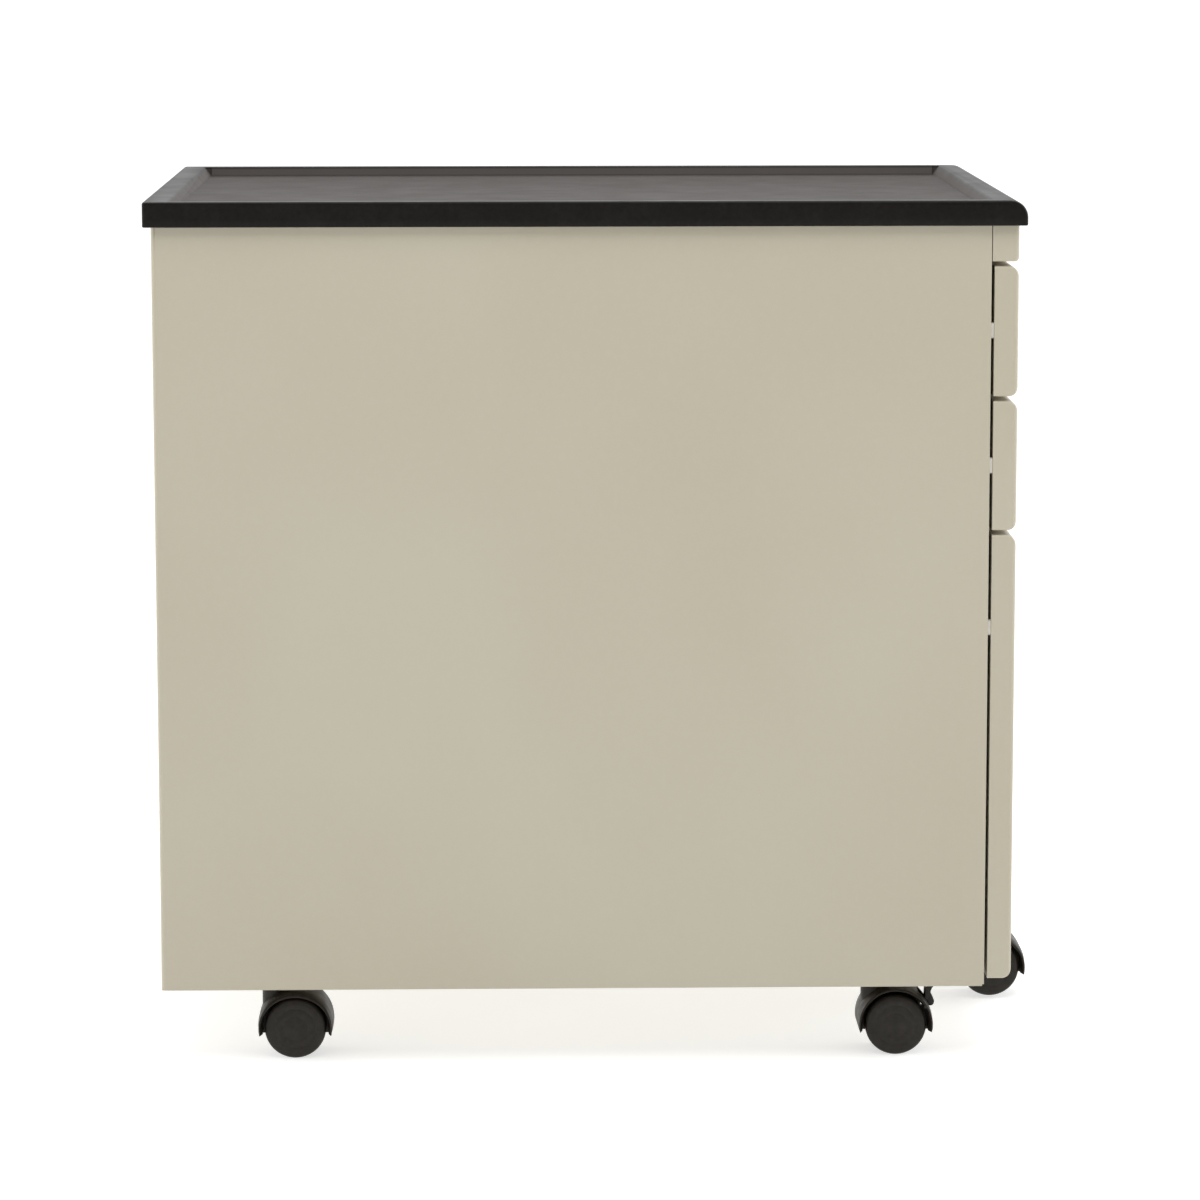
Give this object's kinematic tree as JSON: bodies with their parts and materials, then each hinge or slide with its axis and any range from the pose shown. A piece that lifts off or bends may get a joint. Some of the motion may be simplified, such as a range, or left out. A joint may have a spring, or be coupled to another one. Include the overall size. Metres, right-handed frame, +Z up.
{
  "type": "mobile filing pedestal",
  "caption": "Low steel filing pedestal on twin-wheel casters: tray top, two shallow drawers over a file drawer, cam lock and an anti-tip caster under the file drawer.",
  "frame": {"origin": "on the floor, under the middle of the whole outline", "axes": "+X along the width, drawers open towards -Y, +Z up"},
  "size_m": [0.39, 0.5842, 0.56],
  "materials": {
    "putty_enamel": "satin",
    "black_abs": "satin, finely grained",
    "black_nylon": "satin",
    "zinc_steel": "zinc plated",
    "lock_chrome": "bright",
    "white_nylon": "matte"
  },
  "bodies": {
    "cabinet": {"top_tray": "black_abs", "case_wrap": "putty_enamel", "base_pan": "putty_enamel", "header_rail": "putty_enamel", "slide_posts": "zinc_steel", "top_rails": "putty_enamel", "top_screws": "zinc_steel", "drawer_bumpers": "white_nylon", "lock_housing": "lock_chrome", "lock_bar_guides": "zinc_steel", "drawer_1_slide_outer": "zinc_steel", "drawer_2_slide_outer": "zinc_steel", "file_slide_outer": "zinc_steel", "caster_stems": "zinc_steel"},
    "drawer_1": {"drawer_1_front": "putty_enamel", "drawer_1_body": "putty_enamel", "drawer_1_pull": "black_abs", "drawer_1_slide_inner": "zinc_steel"},
    "drawer_2": {"drawer_2_front": "putty_enamel", "drawer_2_body": "putty_enamel", "drawer_2_pull": "black_abs", "drawer_2_slide_inner": "zinc_steel"},
    "file_drawer": {"file_front": "putty_enamel", "file_body": "putty_enamel", "file_pull": "black_abs", "file_hanging_rails": "zinc_steel", "file_slide_inner": "zinc_steel", "anti_tip_bracket": "zinc_steel", "anti_tip_stem": "zinc_steel"},
    "drawer_1_cages": {"drawer_1_ball_cages": "zinc_steel"},
    "drawer_2_cages": {"drawer_2_ball_cages": "zinc_steel"},
    "file_slide_mid": {"file_slide_middle": "zinc_steel"},
    "file_cages_outer": {"file_ball_cages_outer": "zinc_steel"},
    "file_cages_inner": {"file_ball_cages_inner": "zinc_steel"},
    "lock_core": {"lock_plug": "lock_chrome", "lock_cam": "zinc_steel"},
    "lock_lift": {"lock_bar": "zinc_steel"},
    "caster_rear_left": {"caster_rear_left_hood": "black_nylon", "caster_rear_left_axle": "zinc_steel"},
    "caster_rear_left_spin_a": {"caster_rear_left_wheel_a": "black_nylon"},
    "caster_rear_left_spin_b": {"caster_rear_left_wheel_b": "black_nylon"},
    "caster_rear_right": {"caster_rear_right_hood": "black_nylon", "caster_rear_right_axle": "zinc_steel"},
    "caster_rear_right_spin_a": {"caster_rear_right_wheel_a": "black_nylon"},
    "caster_rear_right_spin_b": {"caster_rear_right_wheel_b": "black_nylon"},
    "caster_front_left": {"caster_front_left_hood": "black_nylon", "caster_front_left_axle": "zinc_steel"},
    "caster_front_left_spin_a": {"caster_front_left_wheel_a": "black_nylon"},
    "caster_front_left_spin_b": {"caster_front_left_wheel_b": "black_nylon"},
    "caster_front_left_lever": {"caster_front_left_brake": "black_nylon"},
    "caster_front_right": {"caster_front_right_hood": "black_nylon", "caster_front_right_axle": "zinc_steel"},
    "caster_front_right_spin_a": {"caster_front_right_wheel_a": "black_nylon"},
    "caster_front_right_spin_b": {"caster_front_right_wheel_b": "black_nylon"},
    "caster_front_right_lever": {"caster_front_right_brake": "black_nylon"},
    "caster_tip": {"caster_tip_hood": "black_nylon", "caster_tip_axle": "zinc_steel"},
    "caster_tip_spin_a": {"caster_tip_wheel_a": "black_nylon"},
    "caster_tip_spin_b": {"caster_tip_wheel_b": "black_nylon"}
  },
  "joints": [
    {"name": "drawer_1_slide", "type": "slide", "parent": "cabinet", "child": "drawer_1", "axis": [0, -1, 0], "range_m": [0, 0.375]},
    {"name": "drawer_2_slide", "type": "slide", "parent": "cabinet", "child": "drawer_2", "axis": [0, -1, 0], "range_m": [0, 0.375]},
    {"name": "file_drawer_slide", "type": "slide", "parent": "cabinet", "child": "file_drawer", "axis": [0, -1, 0], "range_m": [0, 0.48]},
    {"name": "drawer_1_cage_roll", "type": "slide", "parent": "cabinet", "child": "drawer_1_cages", "axis": [0, -1, 0], "range_m": [0, 0.1875]},
    {"name": "drawer_2_cage_roll", "type": "slide", "parent": "cabinet", "child": "drawer_2_cages", "axis": [0, -1, 0], "range_m": [0, 0.1875]},
    {"name": "file_slide_mid_slide", "type": "slide", "parent": "cabinet", "child": "file_slide_mid", "axis": [0, -1, 0], "range_m": [0, 0.24]},
    {"name": "file_cage_outer_roll", "type": "slide", "parent": "cabinet", "child": "file_cages_outer", "axis": [0, -1, 0], "range_m": [0, 0.12]},
    {"name": "file_cage_inner_roll", "type": "slide", "parent": "cabinet", "child": "file_cages_inner", "axis": [0, -1, 0], "range_m": [0, 0.36]},
    {"name": "lock_turn", "type": "hinge", "parent": "cabinet", "child": "lock_core", "pos_m": [0.15, -0.26245, 0.534], "axis": [0, 1, 0], "range_deg": [0, 90]},
    {"name": "lock_bar_lift", "type": "slide", "parent": "cabinet", "child": "lock_lift", "axis": [0, 0, 1], "range_m": [0, 0.00848]},
    {"name": "caster_rear_left_swivel", "type": "hinge", "parent": "cabinet", "child": "caster_rear_left", "pos_m": [-0.151, 0.21505, 0.045], "axis": [0, 0, 1], "continuous": true},
    {"name": "caster_rear_left_spin_a", "type": "hinge", "parent": "caster_rear_left", "child": "caster_rear_left_spin_a", "pos_m": [-0.151, 0.20205, 0.02], "axis": [1, 0, 0], "continuous": true},
    {"name": "caster_rear_left_spin_b", "type": "hinge", "parent": "caster_rear_left", "child": "caster_rear_left_spin_b", "pos_m": [-0.151, 0.20205, 0.02], "axis": [1, 0, 0], "continuous": true},
    {"name": "caster_rear_right_swivel", "type": "hinge", "parent": "cabinet", "child": "caster_rear_right", "pos_m": [0.151, 0.21505, 0.045], "axis": [0, 0, 1], "continuous": true},
    {"name": "caster_rear_right_spin_a", "type": "hinge", "parent": "caster_rear_right", "child": "caster_rear_right_spin_a", "pos_m": [0.151, 0.20205, 0.02], "axis": [1, 0, 0], "continuous": true},
    {"name": "caster_rear_right_spin_b", "type": "hinge", "parent": "caster_rear_right", "child": "caster_rear_right_spin_b", "pos_m": [0.151, 0.20205, 0.02], "axis": [1, 0, 0], "continuous": true},
    {"name": "caster_front_left_swivel", "type": "hinge", "parent": "cabinet", "child": "caster_front_left", "pos_m": [-0.151, -0.17695, 0.045], "axis": [0, 0, 1], "continuous": true},
    {"name": "caster_front_left_spin_a", "type": "hinge", "parent": "caster_front_left", "child": "caster_front_left_spin_a", "pos_m": [-0.151, -0.18995, 0.02], "axis": [1, 0, 0], "continuous": true},
    {"name": "caster_front_left_spin_b", "type": "hinge", "parent": "caster_front_left", "child": "caster_front_left_spin_b", "pos_m": [-0.151, -0.18995, 0.02], "axis": [1, 0, 0], "continuous": true},
    {"name": "caster_front_left_brake_press", "type": "hinge", "parent": "caster_front_left", "child": "caster_front_left_lever", "pos_m": [-0.151, -0.20945, 0.0325], "axis": [1, 0, 0], "range_deg": [0, 35]},
    {"name": "caster_front_right_swivel", "type": "hinge", "parent": "cabinet", "child": "caster_front_right", "pos_m": [0.151, -0.17695, 0.045], "axis": [0, 0, 1], "continuous": true},
    {"name": "caster_front_right_spin_a", "type": "hinge", "parent": "caster_front_right", "child": "caster_front_right_spin_a", "pos_m": [0.151, -0.18995, 0.02], "axis": [1, 0, 0], "continuous": true},
    {"name": "caster_front_right_spin_b", "type": "hinge", "parent": "caster_front_right", "child": "caster_front_right_spin_b", "pos_m": [0.151, -0.18995, 0.02], "axis": [1, 0, 0], "continuous": true},
    {"name": "caster_front_right_brake_press", "type": "hinge", "parent": "caster_front_right", "child": "caster_front_right_lever", "pos_m": [0.151, -0.20945, 0.0325], "axis": [1, 0, 0], "range_deg": [0, 35]},
    {"name": "caster_tip_swivel", "type": "hinge", "parent": "file_drawer", "child": "caster_tip", "pos_m": [0, -0.25445, 0.045], "axis": [0, 0, 1], "continuous": true},
    {"name": "caster_tip_spin_a", "type": "hinge", "parent": "caster_tip", "child": "caster_tip_spin_a", "pos_m": [0, -0.26745, 0.022], "axis": [1, 0, 0], "continuous": true},
    {"name": "caster_tip_spin_b", "type": "hinge", "parent": "caster_tip", "child": "caster_tip_spin_b", "pos_m": [0, -0.26745, 0.022], "axis": [1, 0, 0], "continuous": true}
  ],
  "couplings": [
    {"joint": "drawer_1_cage_roll", "follows": "drawer_1_slide", "ratio": 0.5},
    {"joint": "drawer_2_cage_roll", "follows": "drawer_2_slide", "ratio": 0.5},
    {"joint": "file_slide_mid_slide", "follows": "file_drawer_slide", "ratio": 0.5},
    {"joint": "file_cage_outer_roll", "follows": "file_drawer_slide", "ratio": 0.25},
    {"joint": "file_cage_inner_roll", "follows": "file_drawer_slide", "ratio": 0.75},
    {"joint": "lock_turn", "follows": "lock_bar_lift", "rad_per_m": 185.12}
  ]
}
